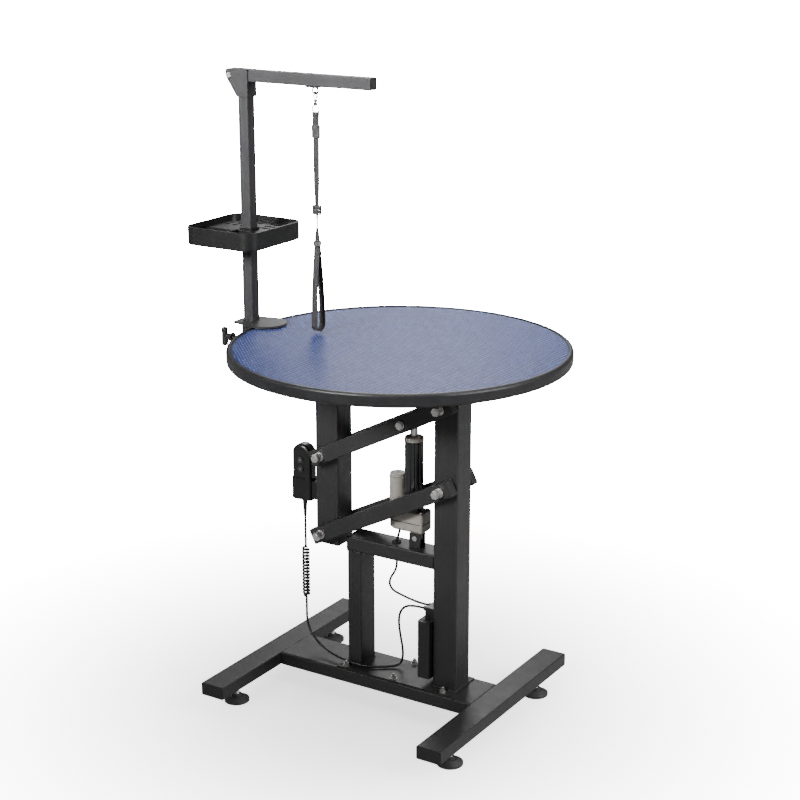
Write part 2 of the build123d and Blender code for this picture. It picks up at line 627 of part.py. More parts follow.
save("handset_lead", along_z(HANDSET_X, 0, COIL_TOP, RELIEF_BOTTOM, CABLE_DIAMETER / 2))
save("handset_coil", along_z(HANDSET_X, 0, COIL_BOTTOM, COIL_TOP, COIL_DIAMETER / 2))

CORD_ROUTE = [(HANDSET_X, 0, COIL_BOTTOM), (HANDSET_X, 0, 143), (-158, -1, 118), (-147, -4, 96),
              (-124, -9, 80), (-95, -19, 74), (-65, -27.5, 72), (-36, -30.5, 71), (-8, -30, 69),
              (18, -16, 67.8), (38, 0, 67.8), (50, 9, 71), (55, 12, 86), (55, 11, 106), (52, 8, 131),
              (50, 4, 160), (55, 0, 184), (70, -5, 202), (94, -GLAND_Y, GLAND_Z),
              (GLAND_TIP, -GLAND_Y, GLAND_Z)]
save("handset_cord", cord(CORD_ROUTE, CABLE_DIAMETER, "handset_cord"))
CABLE_ROUTE = [(57, -3, HOUSING_BOTTOM), (57, -3, 349), (53, -3.2, 337), (50, GROMMET_Y, 326),
               (50, GROMMET_Y, 296), (50.6, -2.5, 281), (46, -1.5, 266), (35, 0, 251), (31, 1, 236),
               (38, 2.5, 224), (55, 4, 218.5), (75, 6, 213), (95, GLAND_Y, GLAND_Z),
               (GLAND_TIP, GLAND_Y, GLAND_Z)]
save("actuator_cable", cord(CABLE_ROUTE, CABLE_DIAMETER, "actuator_cable"))


# ---- arm clamp ---------------------------------------------------------------------------
CLAMP_TOP = TOP_Z + 4
SLEEVE = 28
SLEEVE_BOTTOM = 640
CLAMP_PLATE_X = -242
CLAMP_PLATE_R = 39
SCREW_X = -228
KNOB_Z = 667


def clamp():
    """Top plate on the mat, sleeve for the arm post outside the rim, lower arm for the screw."""
    disc = Pos(CLAMP_PLATE_X, 0) * Circle(CLAMP_PLATE_R)
    outline = make_hull((disc + Pos(-290, 0) * Rectangle(18, 54)).edges())
    shape = Pos(0, 0, TOP_Z + 0.2) * extrude(outline, CLAMP_TOP - TOP_Z - 0.2)
    shape += rounded(ARM_X - SLEEVE / 2, ARM_X + SLEEVE / 2, -SLEEVE / 2, SLEEVE / 2,
                     SLEEVE_BOTTOM, CLAMP_TOP, 2)
    shape += block(ARM_X + SLEEVE / 2 - 1, SCREW_X + 14, -14, 14, SLEEVE_BOTTOM, SLEEVE_BOTTOM + 9)
    fit = ARM_TUBE / 2 + 0.25
    shape -= block(ARM_X - fit, ARM_X + fit, -fit, fit, SLEEVE_BOTTOM - 1, CLAMP_TOP + 1)
    shape -= along_z(SCREW_X, 0, SLEEVE_BOTTOM - 1, SLEEVE_BOTTOM + 10, 5.1)
    return shape - along_x(ARM_X - SLEEVE, ARM_X - 5, 0, KNOB_Z, 4.1)


def clamp_screw():
    screw = along_z(SCREW_X, 0, 612, BOARD_BOTTOM - 5, 5)
    screw += along_z(SCREW_X, 0, BOARD_BOTTOM - 5, BOARD_BOTTOM - 0.3, 14)
    screw += along_z(SCREW_X, 0, 600, 612, 8)
    return screw + along_y(SCREW_X, -26, 26, 606, 4)


def lock_knob():
    """A T-handle set screw that bears on the arm post."""
    tip = ARM_X - ARM_TUBE / 2 - 0.05
    shape = along_x(-322, tip, 0, KNOB_Z, 4)
    hub = Pos(-328, 0, KNOB_Z) * Rot(0, 90, 0) * Cone(6, 9.5, 14)
    bar = along_z(-341, 0, KNOB_Z - 18, KNOB_Z + 18, 6.3)
    bar = fillet(bar.edges().filter_by(GeomType.CIRCLE), 3)
    return shape + hub + bar


save("clamp_bracket", clamp())
save("clamp_screw", clamp_screw())
save("arm_lock_knob", lock_knob())


# ---- grooming arm ------------------------------------------------------------------------
BOOM_TOP = BOOM_BOTTOM + ARM_TUBE
BOOM_AXIS = (BOOM_BOTTOM + BOOM_TOP) / 2
BOOM_X0, BOOM_X1 = BOOM_PIN_X - 6.5, -0.5
CHEEK = 2.5
CHEEK_GAP = 0.4


def square_tube(x0, x1, z0, z1, axis):
    """A thin square tube on the centre plane, along X or Z."""
    half = ARM_TUBE / 2
    outer = block(x0, x1, -half, half, z0, z1)
    outer = fillet(outer.edges().filter_by(axis), 1.5)
    grow = (1, 0) if axis == Axis.X else (0, 1)
    wall_x, wall_z = (-grow[0] or ARM_WALL), (-grow[1] or ARM_WALL)
    inner = block(x0 + wall_x, x1 - wall_x, -half + ARM_WALL, half - ARM_WALL, z0 + wall_z, z1 - wall_z)
    return outer - inner


def corner_bracket():
    """Two cheeks with a cut corner, joined by a sleeve over the top of the post."""
    half = ARM_TUBE / 2 + CHEEK_GAP
    left, right = ARM_X - half, ARM_X + half
    floor = BOOM_BOTTOM - 2.8
    outline = [(BOOM_PIN_X - 8.5, BOOM_TOP), (BOOM_PIN_X - 8.5, BOOM_AXIS - 2),
               (ARM_X - ARM_TUBE / 2, 1128), (right + CHEEK, 1128), (right + CHEEK, BOOM_TOP)]
    shape = flat_prism(outline, -half - CHEEK, -half) + flat_prism(outline, half, half + CHEEK)
    shape += block(left - CHEEK, left, -half - 1, half + 1, 1132, floor + 2.5)
    shape += block(right, right + CHEEK, -half - 1, half + 1, 1128, floor + 2.5)
    shape += block(left - CHEEK, right + CHEEK, -half - 1, half + 1, floor, floor + 2.5)
    return shape - along_y(BOOM_PIN_X, -30, 30, BOOM_AXIS, 4)


def boom_pin():
    half = ARM_TUBE / 2 + CHEEK_GAP + CHEEK
    pin = along_y(BOOM_PIN_X, -half - 1, half + 1, BOOM_AXIS, 4)
    pin += along_y(BOOM_PIN_X, -half - 1.4, -half, BOOM_AXIS, 4.8)
    return pin + hex_y(BOOM_PIN_X, half, half + 4, BOOM_AXIS, 10)


def boom_cap(x, side):
    half = ARM_TUBE / 2
    x0, x1 = sorted((x, x + side * 1.5))
    flange = block(x0, x1, -half, half, BOOM_BOTTOM, BOOM_TOP)
    flange = fillet(flange.edges().filter_by(Axis.X), 1.5)
    p0, p1 = sorted((x, x - side * 5))
    gap = ARM_WALL + 0.1
    return flange + block(p0, p1, -half + gap, half - gap, BOOM_BOTTOM + gap, BOOM_TOP - gap)


def hook_eye():
    """A black wire eye under the boom on a small foot."""
    foot = block(STRAP_X - 16, STRAP_X + 10, -8, 8, BOOM_BOTTOM - 2.5, BOOM_BOTTOM)
    eye = Pos(STRAP_X, 0, EYE_Z) * Rot(90, 0, 0) * Torus(6, 1.7)
    return foot + eye


arm_post = square_tube(ARM_X - ARM_TUBE / 2, ARM_X + ARM_TUBE / 2, 609, BOOM_BOTTOM - 3.2, Axis.Z)
save("arm_post", arm_post)
save("corner_bracket", corner_bracket())
save("boom_pin", boom_pin())
boom = square_tube(BOOM_X0, BOOM_X1, BOOM_BOTTOM, BOOM_TOP, Axis.X)
save("boom_tube", boom - along_y(BOOM_PIN_X, -30, 30, BOOM_AXIS, 4.1))
save("boom_end_cap", boom_cap(BOOM_X1, 1))
save("boom_hook", hook_eye())


# ---- tool tray ---------------------------------------------------------------------------
TRAY_X0, TRAY_X1 = -368, -210
TRAY_Y = 85
TRAY_BOTTOM, TRAY_TOP = 858, 892
TRAY_WALL = 3
TRAY_DECK = 878


def tray():
    """Open rounded tray: a deck with tool holes behind, two open bins in front of it."""
    outer = rounded(TRAY_X0, TRAY_X1, -TRAY_Y, TRAY_Y, TRAY_BOTTOM, TRAY_TOP, 26)
    outer = fillet(outer.edges().group_by(Axis.Z)[0], 3)
    inner = rounded(TRAY_X0 + TRAY_WALL, TRAY_X1 - TRAY_WALL, -TRAY_Y + TRAY_WALL, TRAY_Y - TRAY_WALL,
                    TRAY_BOTTOM + TRAY_WALL, TRAY_TOP + 1, 23)
    shape = outer - inner
    deck = rounded(TRAY_X0 + 1, TRAY_X1 - 1, -TRAY_Y + 1, TRAY_Y - 1, TRAY_DECK, TRAY_DECK + 3, 25)
    deck -= block(TRAY_X0, TRAY_X1, -TRAY_Y, -16, TRAY_DECK - 1, TRAY_DECK + 4)
    for column in range(4):
        for row in range(3):
            x = TRAY_X0 + 22 + column * 17
            deck -= along_z(x, 26 + row * 17, TRAY_DECK - 1, TRAY_DECK + 4, 5.5)
    for row in range(3):
        y = 26 + row * 17
        slot = block(-272, -236, y - 4, y + 4, TRAY_DECK - 1, TRAY_DECK + 4)
        deck -= fillet(slot.edges().filter_by(Axis.Z), 3.9)
    shape += deck
    shape += block(TRAY_X0 + 1, TRAY_X1 - 1, -18, -15.5, TRAY_BOTTOM + 1, TRAY_DECK + 3)
    shape += block(-291, -288.5, -TRAY_Y + 1, -17, TRAY_BOTTOM + 1, TRAY_DECK + 6)
    shape += rounded(ARM_X - 14, ARM_X + 14, -14, 14, TRAY_BOTTOM, TRAY_DECK + 8, 3)
    fit = ARM_TUBE / 2 + 0.4
    return shape - block(ARM_X - fit, ARM_X + fit, -fit, fit, TRAY_BOTTOM - 1, TRAY_TOP)


save("tool_tray", tray())


# ---- strap -------------------------------------------------------------------------------
STRAP_WIDTH = 13
STRAP_THICK = 1.6
RING_Z = 1115
STRAP_TOP = RING_Z - 9.3
BEAD_Z = 872
NOOSE_BOTTOM = 706.5


def snap_hook():
    """A trigger snap hung in the eye, with its swivel body and the strap's ring below."""
    snap = Pos(STRAP_X, 0, EYE_Z - 8.1) * Rot(0, 0, 90) * Rot(90, 0, 0) * Torus(6, 1.9)
    body = along_z(STRAP_X, 0, RING_Z + 8, EYE_Z - 15, 3.8)
    loop = Pos(STRAP_X, 0, RING_Z) * Rot(90, 0, 0) * Torus(7.5, 1.5)
    return snap + body + loop


def webbing():
    """The flat strap down to the bead and the teardrop noose under it."""
    half = STRAP_WIDTH / 2
    hang = block(STRAP_X - half, STRAP_X + half, -STRAP_THICK, STRAP_THICK, BEAD_Z + 4, STRAP_TOP)
    low = NOOSE_BOTTOM + STRAP_THICK + 13
    outer = Pos(0, low) * Circle(13 + STRAP_THICK) + Pos(0, BEAD_Z - 7) * Circle(2.6)
    inner = Pos(0, low) * Circle(13) + Pos(0, BEAD_Z - 9) * Circle(1)
    loop = make_hull(outer.edges()) - make_hull(inner.edges())
    solid = extrude(loop, STRAP_WIDTH)
    place = Plane(origin=(STRAP_X - half, 0, 0), x_dir=(0, 1, 0), z_dir=(1, 0, 0))
    return hang, place * solid


def strap_fittings():
    """Crimp at the top of the webbing and the bead above the noose."""
    half = STRAP_WIDTH / 2 + 0.9
    crimp = block(STRAP_X - half, STRAP_X + half, -3, 3, 1064, 1087)
    crimp -= block(STRAP_X - half + 0.9, STRAP_X + half - 0.9, -STRAP_THICK, STRAP_THICK, 1060, 1090)
    bead = along_z(STRAP_X, 0, BEAD_Z - 4, BEAD_Z + 4, 7.5)
    return crimp, bead


def slider():
    half = STRAP_WIDTH / 2 + 1.6
    shape = block(STRAP_X - half, STRAP_X + half, -3.4, 3.4, 925, 942)
    fit = STRAP_THICK + 0.15
    return shape - block(STRAP_X - half + 1.4, STRAP_X + half - 1.4, -fit, fit, 920, 950)


save("snap_hook", snap_hook())
save("grooming_strap", *webbing())
save("strap_fittings", *strap_fittings())
save("strap_slider", slider())
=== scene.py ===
"""Pet grooming table: materials, cords, webbing, mat and small details on the CAD frame. Metres."""

import bpy
import bmesh
import json
import math
from mathutils import Matrix, Vector


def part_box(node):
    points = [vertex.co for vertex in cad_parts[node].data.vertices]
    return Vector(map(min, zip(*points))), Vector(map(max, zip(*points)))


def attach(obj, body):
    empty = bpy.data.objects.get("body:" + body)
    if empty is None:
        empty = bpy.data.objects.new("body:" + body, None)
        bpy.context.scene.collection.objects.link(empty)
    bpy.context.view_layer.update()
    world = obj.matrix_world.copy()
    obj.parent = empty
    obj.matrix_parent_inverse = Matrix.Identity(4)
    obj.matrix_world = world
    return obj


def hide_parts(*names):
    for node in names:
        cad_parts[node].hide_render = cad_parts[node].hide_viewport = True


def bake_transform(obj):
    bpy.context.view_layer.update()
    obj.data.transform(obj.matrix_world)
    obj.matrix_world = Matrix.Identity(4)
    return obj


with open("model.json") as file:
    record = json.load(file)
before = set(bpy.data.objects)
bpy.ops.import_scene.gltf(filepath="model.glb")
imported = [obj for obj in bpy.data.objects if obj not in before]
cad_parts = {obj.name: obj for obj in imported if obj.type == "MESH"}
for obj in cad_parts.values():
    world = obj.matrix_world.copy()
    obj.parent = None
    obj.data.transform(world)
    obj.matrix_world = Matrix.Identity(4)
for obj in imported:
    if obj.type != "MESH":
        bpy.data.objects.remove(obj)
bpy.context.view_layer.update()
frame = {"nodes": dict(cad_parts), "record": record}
MM = 0.001


# ---- node helpers --------------------------------------------------------------------------
class Shader:
    """A Principled material with a few short ways to add procedural detail."""

    def __init__(self, name, color, roughness, metallic=0.0, **sockets):
        self.material = bpy.data.materials.new(name)
        self.material.use_nodes = True
        self.tree = self.material.node_tree
        self.bsdf = self.tree.nodes["Principled BSDF"]
        self.bsdf.inputs["Base Color"].default_value = (*color, 1.0)
        self.bsdf.inputs["Roughness"].default_value = roughness
        self.bsdf.inputs["Metallic"].default_value = metallic
        for key, value in sockets.items():
            self.bsdf.inputs[key.replace("_", " ")].default_value = value
        self.place = self.node("ShaderNodeTexCoord").outputs["Object"]
        self.height = None

    def node(self, kind, **settings):
        made = self.tree.nodes.new(kind)
        for key, value in settings.items():
            setattr(made, key, value)
        return made

    def link(self, source, target):
        self.tree.links.new(source, target)

    def math(self, operation, a, b=0.0):
        made = self.node("ShaderNodeMath", operation=operation)
        for socket, value in zip(made.inputs, (a, b)):
            if isinstance(value, (int, float)):
                socket.default_value = value
            else:
                self.link(value, socket)
        return made.outputs[0]

    def stretch(self, scale):
        mapping = self.node("ShaderNodeMapping")
        mapping.inputs["Scale"].default_value = scale
        self.link(self.place, mapping.inputs["Vector"])
        return mapping.outputs["Vector"]

    def noise(self, scale, detail=4.0, stretched=None):
        made = self.node("ShaderNodeTexNoise")
        made.inputs["Scale"].default_value = scale
        made.inputs["Detail"].default_value = detail
        self.link(self.stretch(stretched) if stretched else self.place, made.inputs["Vector"])
        return made.outputs["Fac"]

    def ramp(self, value, low, high, a, b):
        """Two colours blended as value goes from low to high."""
        made = self.node("ShaderNodeValToRGB")
        made.color_ramp.elements[0].position = low
        made.color_ramp.elements[1].position = high
        made.color_ramp.elements[0].color = (*a, 1.0)
        made.color_ramp.elements[1].color = (*b, 1.0)
        self.link(value, made.inputs["Fac"])
        return made.outputs["Color"]

    def tint(self, value, low, high, a, b):
        self.link(self.ramp(value, low, high, a, b), self.bsdf.inputs["Base Color"])

    def rough(self, value, low, high):
        span = self.node("ShaderNodeMapRange")
        span.inputs["To Min"].default_value = low
        span.inputs["To Max"].default_value = high
        self.link(value, span.inputs["Value"])
        self.link(span.outputs[0], self.bsdf.inputs["Roughness"])

    def bump(self, height, distance, strength=0.5):
        """Adds a layer of relief, distance in metres."""
        made = self.node("ShaderNodeBump")
        made.inputs["Strength"].default_value = strength
        made.inputs["Distance"].default_value = distance
        self.link(height, made.inputs["Height"])
        if self.height is not None:
            self.link(self.height, made.inputs["Normal"])
        self.height = made.outputs["Normal"]
        self.link(self.height, self.bsdf.inputs["Normal"])
        return self


def scaled(color, factor):
    return tuple(c * factor for c in color)


def powder_coat(name, color, roughness):
    """Satin powder coat: fine orange peel, slight unevenness and rubbed high spots."""
    s = Shader(name, color, roughness, 0.0, Specular_IOR_Level=0.4)
    cloud = s.noise(9, 6)
    s.tint(cloud, 0.35, 0.7, scaled(color, 0.85), scaled(color, 1.2))
    s.rough(s.noise(35, 5), roughness - 0.07, roughness + 0.1)
    s.bump(s.noise(900, 3), 0.0002, 0.25)
    return s.bump(s.noise(2600, 2), 0.00008, 0.3).material


def plated(name, color, roughness):
    """Zinc plate with fine turning lines and a faint mottled tone."""
    s = Shader(name, color, roughness, 1.0)
    s.tint(s.noise(160, 4), 0.35, 0.7, scaled(color, 0.8), color)
    s.rough(s.noise(300, 4, (1, 6, 1)), roughness - 0.08, roughness + 0.12)
    return s.bump(s.noise(1500, 3, (1, 8, 1)), 0.00006, 0.35).material


def moulded(name, color, roughness, grain=0.00008, coat=0.0):
    """Moulded plastic: spark texture, with a coat where it is glossy."""
    s = Shader(name, color, roughness, 0.0, Coat_Weight=coat, Coat_Roughness=0.08)
    s.tint(s.noise(14, 4), 0.35, 0.7, scaled(color, 0.85), scaled(color, 1.15))
    s.rough(s.noise(60, 4), roughness - 0.05, roughness + 0.07)
    return s.bump(s.noise(1700, 2), grain, 0.35).material


def rubber(name, color, roughness=0.7):
    s = Shader(name, color, roughness, 0.0, Specular_IOR_Level=0.35)
    s.tint(s.noise(30, 5), 0.3, 0.75, scaled(color, 0.75), scaled(color, 1.35))
    s.rough(s.noise(90, 4), roughness - 0.1, roughness + 0.12)
    return s.bump(s.noise(1200, 3), 0.0001, 0.4).material


def mat_rubber():
    """Blue rubber with a painted highlight: paler on the tips of its studs than in the valleys between
    them, and mottled at random.
    """
    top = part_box("rubber_mat")[1][2]
    deep, tip_highlight_blue = (0.005, 0.013, 0.070), (0.105, 0.135, 0.32)
    s = Shader("mat_rubber", deep, 0.42, 0.0, Specular_IOR_Level=0.4)
    split = s.node("ShaderNodeSeparateXYZ")
    s.link(s.place, split.inputs[0])
    # Painted highlight: the colour runs from the deep blue of the valleys to pale blue on the stud tips,
    # with a random mottle on top.
    rise = s.math("SUBTRACT", split.outputs["Z"], top - STUD_RISE)
    stud_tip_highlight_and_mottle = s.math("ADD", s.math("DIVIDE", rise, STUD_RISE), s.math("MULTIPLY", s.noise(18, 4), 0.25))
    s.tint(stud_tip_highlight_and_mottle, 0.45, 1.1, deep, tip_highlight_blue)
    s.rough(s.noise(70, 4), 0.36, 0.52)
    return s.bump(s.noise(1100, 3), 0.00012, 0.4).material


def webbing_cloth():
    """Black nylon webbing: a tight weave of ribs across and along the strap, with painted highlight on the
    ribs and painted shade between them.
    """
    color = (0.009, 0.009, 0.010)
    s = Shader("webbing_cloth", color, 0.75, 0.0, Sheen_Weight=0.1, Sheen_Roughness=0.4)
    across = s.node("ShaderNodeTexWave", bands_direction="Z")
    across.inputs["Scale"].default_value = 210
    across.inputs["Distortion"].default_value = 0.6
    along = s.node("ShaderNodeTexWave", bands_direction="DIAGONAL")
    along.inputs["Scale"].default_value = 160
    for wave in (across, along):
        s.link(s.place, wave.inputs["Vector"])
    weave = s.math("MULTIPLY", across.outputs["Fac"], along.outputs["Fac"])
    # Painted highlight and shade: the colour follows the weave's relief, paler on the ribs and darker
    # between them.
    s.tint(weave, 0.1, 0.8, scaled(color, 0.6), scaled(color, 2.0))
    return s.bump(weave, 0.0003, 0.8).material


def board_fibre():
    """Sealed fibreboard, dark, with short pressed fibres."""
    color = (0.07, 0.055, 0.042)
    s = Shader("board_fibre", color, 0.6)
    s.tint(s.noise(240, 8, (1, 3, 1)), 0.3, 0.7, scaled(color, 0.6), scaled(color, 1.5))
    return s.bump(s.noise(500, 6, (1, 4, 1)), 0.0002, 0.4).material


def foot_shader():
    """Dark pad below, plated stud above the pad's neck."""
    s = Shader("levelling_foot", (0.035, 0.035, 0.036), 0.5)
    split = s.node("ShaderNodeSeparateXYZ")
    s.link(s.place, split.inputs[0])
    steel = s.math("GREATER_THAN", split.outputs["Z"], FOOT_NECK)
    mottle = s.noise(70, 4)
    dark = s.ramp(mottle, 0.3, 0.7, (0.028, 0.028, 0.029), (0.05, 0.05, 0.052))
    bright = s.ramp(mottle, 0.3, 0.7, (0.5, 0.5, 0.49), (0.68, 0.68, 0.66))
    mix = s.node("ShaderNodeMix", data_type="RGBA")
    s.link(steel, mix.inputs["Factor"])
    s.link(dark, mix.inputs["A"])
    s.link(bright, mix.inputs["B"])
    s.link(mix.outputs["Result"], s.bsdf.inputs["Base Color"])
    s.link(steel, s.bsdf.inputs["Metallic"])
    thread = s.node("ShaderNodeTexWave", bands_direction="Z")
    thread.inputs["Scale"].default_value = 210
    s.link(s.place, thread.inputs["Vector"])
    s.bump(s.math("MULTIPLY", thread.outputs["Fac"], steel), 0.0005, 0.8)
    return s.bump(s.noise(1300, 3), 0.0001, 0.3).material


STUD_RISE = 0.8 * MM
STUD_PITCH = 7.3 * MM
FOOT_NECK = 15 * MM

COATS = {
    "frame_black": powder_coat("frame_powder_coat", (0.017, 0.0165, 0.017), 0.42),
    "arm_black": powder_coat("arm_powder_coat", (0.018, 0.018, 0.019), 0.45),
    "clamp_steel": powder_coat("clamp_enamel", (0.017, 0.017, 0.018), 0.34),
    "cap_plastic": moulded("end_cap_plastic", (0.010, 0.010, 0.011), 0.5, 0.00015),
    "black_rubber": rubber("grommet_rubber", (0.012, 0.012, 0.012)),
    "foot_rubber": foot_shader(),
    "zinc": plated("zinc_plate", (0.78, 0.77, 0.75), 0.34),
    "brass": plated("turned_brass", (0.55, 0.43, 0.2), 0.35),
    "chrome": plated("polished_chrome", (0.8, 0.8, 0.81), 0.14),
    "housing_grey": moulded("housing_casting", (0.25, 0.236, 0.21), 0.45, 0.0002),
    "tube_black": moulded("fluted_tube", (0.008, 0.008, 0.009), 0.22, 0.00003, 0.6),
    "cable_black": moulded("cable_sheath", (0.009, 0.009, 0.009), 0.42, 0.0001),
    "gloss_black": moulded("gloss_moulding", (0.0035, 0.0035, 0.0036), 0.34, 0.00001, 0.1),
    "button_grey": rubber("key_rubber", (0.02, 0.02, 0.021), 0.5),
    "board_wood": board_fibre(),
    "mat_blue": mat_rubber(),
    "trim_black": rubber("trim_moulding", (0.012, 0.012, 0.013), 0.38),
    "knob_plastic": moulded("knob_plastic", (0.012, 0.012, 0.012), 0.4, 0.00015),
    "strap_webbing": webbing_cloth(),
    "crimp_steel": plated("pressed_crimp", (0.9, 0.9, 0.9), 0.16),
}
KEY_MARK = moulded("key_mark", (0.09, 0.09, 0.09), 0.5)
LED_GREEN = moulded("led_lens", (0.05, 0.3, 0.08), 0.2, 0.00002, 0.5)
DULL_ZINC = plated("dull_zinc_plate", (0.3, 0.3, 0.29), 0.45)
SLOT_OF = {part["node"]: part["material_slot"] for part in frame["record"]["subparts"]}


def coat_cad_nodes():
    for node, obj in frame["nodes"].items():
        coat = DULL_ZINC if node == "frame_bolts" else COATS[SLOT_OF[node]]
        if not obj.material_slots:
            obj.data.materials.append(coat)
        for place in obj.material_slots:
            place.material = coat


# ---- mesh helpers --------------------------------------------------------------------------
def piece_from(bm, name, body, slot, smooth=True):
    """Turns a bmesh into a finished piece on a body."""
    bmesh.ops.recalc_face_normals(bm, faces=bm.faces)
    mesh = bpy.data.meshes.new(name)
    bm.to_mesh(mesh)
    bm.free()
    if smooth:
        mesh.shade_smooth()
    obj = bpy.data.objects.new(name, mesh)
    bpy.context.collection.objects.link(obj)
    obj.data.materials.append(COATS[slot])
    if smooth:
        split = obj.modifiers.new("split", "EDGE_SPLIT")
        split.split_angle = math.radians(38)
    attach(obj, body)
    return obj


def add_box(bm, low, high, bevel):
    """A box between two corners, with rounded edges."""
    low, high = Vector(low), Vector(high)
    made = bmesh.ops.create_cube(bm, size=1.0)
    bmesh.ops.scale(bm, vec=high - low, verts=made["verts"])
    bmesh.ops.translate(bm, vec=(low + high) / 2, verts=made["verts"])
    edges = list({edge for vert in made["verts"] for edge in vert.link_edges})
    bmesh.ops.bevel(bm, geom=edges, offset=bevel, segments=3, affect="EDGES", profile=0.5)


def add_lathe(bm, profile, centre, axis="Z", steps=32):
    """Revolves (radius, height) points about an axis through centre; the ends close on the axis."""
    turn = {"Z": Matrix.Identity(3), "X": Matrix.Rotation(math.pi / 2, 3, "Y"),
            "Y": Matrix.Rotation(-math.pi / 2, 3, "X")}[axis]
    rings = []
    for radius, height in profile:
        ring = []
        for step in range(steps):
            angle = 2 * math.pi * step / steps
            point = Vector((radius * math.cos(angle), radius * math.sin(angle), height))
            ring.append(bm.verts.new(turn @ point + Vector(centre)))
        rings.append(ring)
    for ring, after in zip(rings, rings[1:]):
        for step in range(steps):
            following = (step + 1) % steps
            bm.faces.new((ring[step], ring[following], after[following], after[step]))
    bm.faces.new(rings[0])
    bm.faces.new(rings[-1])


def spline(name, points, radius, closed=False, resolution=10):
    """A NURBS curve with these control points, in metres."""
    data = bpy.data.curves.new(name, "CURVE")
    data.dimensions = "3D"
    data.bevel_depth = radius
    data.bevel_resolution = 4
    data.use_fill_caps = not closed
    line = data.splines.new("NURBS")
    line.points.add(len(points) - 1)
    for point, place in zip(line.points, points):
        point.co = (*place, 1.0)
    line.use_cyclic_u = closed
    line.order_u = 3
    line.use_endpoint_u = not closed
    line.resolution_u = resolution
    obj = bpy.data.objects.new(name, data)
    bpy.context.collection.objects.link(obj)
    return obj


def centreline(curve):
    """The points of a curve's own line."""
    depth = curve.data.bevel_depth
    curve.data.bevel_depth = 0
    bpy.context.view_layer.update()
    mesh = bpy.data.meshes.new_from_object(curve.evaluated_get(bpy.context.evaluated_depsgraph_get()))
    points = [v.co.copy() for v in mesh.vertices]
    bpy.data.meshes.remove(mesh)
    curve.data.bevel_depth = depth
    bpy.context.view_layer.update()
    return points


def meshed(curve):
    """The curve's tube as a mesh object with the same name."""
    bpy.context.view_layer.update()
    mesh = bpy.data.meshes.new_from_object(curve.evaluated_get(bpy.context.evaluated_depsgraph_get()))
    name = curve.name
    bpy.data.objects.remove(curve)
    mesh.shade_smooth()
    obj = bpy.data.objects.new(name, mesh)
    bpy.context.collection.objects.link(obj)
    return obj


def clad(obj, slot):
    """Gives a piece its one material, the coat of the given slot."""
    obj.data.materials.clear()
    obj.data.materials.append(COATS[slot])
    return obj


# ---- cords ---------------------------------------------------------------------------------
CORD_DIAMETER = 4.5 * MM
HANDSET_X = -159 * MM
RELIEF_BOTTOM = 336.5 * MM
COIL_TOP, COIL_BOTTOM = 276 * MM, 165 * MM
COIL_RADIUS = 5.7 * MM
COIL_TURNS = 16
TURN_POINTS = 14
# At each end the cord runs COIL_END along the axis, and its turns then widen over 1 / COIL_FLARE turns.
COIL_END = 3 * MM
COIL_FLARE = 1.6
CORD_ROUTE = [(-159, 0, 165), (-159, 0, 143), (-158, -1, 118), (-147, -4, 96), (-124, -9, 80),
              (-95, -19, 74), (-65, -27.5, 72), (-36, -30.5, 71), (-8, -30, 69), (18, -16, 67.8),
              (38, 0, 67.8), (50, 9, 71), (55, 12, 86), (55, 11, 106), (52, 8, 131), (50, 4, 160),
              (55, 0, 184), (70, -5, 202), (94, -8, 209), (114, -8, 209)]
CABLE_ROUTE = [(57, -3, 356), (57, -3, 349), (53, -3.2, 337), (50, -3, 326), (50, -3, 296),
               (50.6, -2.5, 281), (46, -1.5, 266), (35, 0, 251), (31, 1, 236), (38, 2.5, 224),
               (55, 4, 218.5), (75, 6, 213), (95, 8, 209), (114, 8, 209)]


def route(points):
    return [Vector(p) * MM for p in points]


def loose_cord(name, node, points):
    """A cord that lies or hangs along its route and goes back into the object."""
    curve = clad(spline(name, points, CORD_DIAMETER / 2), "cable_black")
    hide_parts(node)
    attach(curve, "base")


def coil_points():
    """A helix that comes in from its own axis at both ends."""
    count = COIL_TURNS * TURN_POINTS
    points = [Vector((HANDSET_X, 0, COIL_TOP)), Vector((HANDSET_X, 0, COIL_TOP - 1.5 * MM))]
    top, bottom = COIL_TOP - COIL_END, COIL_BOTTOM + COIL_END
    for number in range(count + 1):
        share = number / count
        turns_in, turns_left = number / TURN_POINTS, (count - number) / TURN_POINTS
        ramp = min(1.0, turns_in * COIL_FLARE, turns_left * COIL_FLARE)
        angle = 2 * math.pi * number / TURN_POINTS
        radius = COIL_RADIUS * ramp
        points.append(Vector((HANDSET_X + radius * math.cos(angle), radius * math.sin(angle),
                              top + (bottom - top) * share)))
    points += [Vector((HANDSET_X, 0, COIL_BOTTOM + 1.5 * MM)), Vector((HANDSET_X, 0, COIL_BOTTOM))]
    return points


def curly_cord():
    """The coil, one fixed helix from the base's end of the cord to the coil's top."""
    curve = spline("curly_cord", coil_points(), CORD_DIAMETER / 2, resolution=3)
    path = centreline(curve)
    obj = clad(meshed(curve), "cable_black")
    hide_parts("handset_coil")
    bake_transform(obj)


def lead():
    """The short straight lead from the strain relief to the coil."""
    span = COIL_TOP - RELIEF_BOTTOM
    points = [Vector((HANDSET_X, 0, RELIEF_BOTTOM + span * t)) for t in (0, 0.25, 0.5, 0.75, 1)]
    curve = spline("handset_lead_cord", points, CORD_DIAMETER / 2)
    path = centreline(curve)
    obj = clad(meshed(curve), "cable_black")
    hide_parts("handset_lead")
    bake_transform(obj)


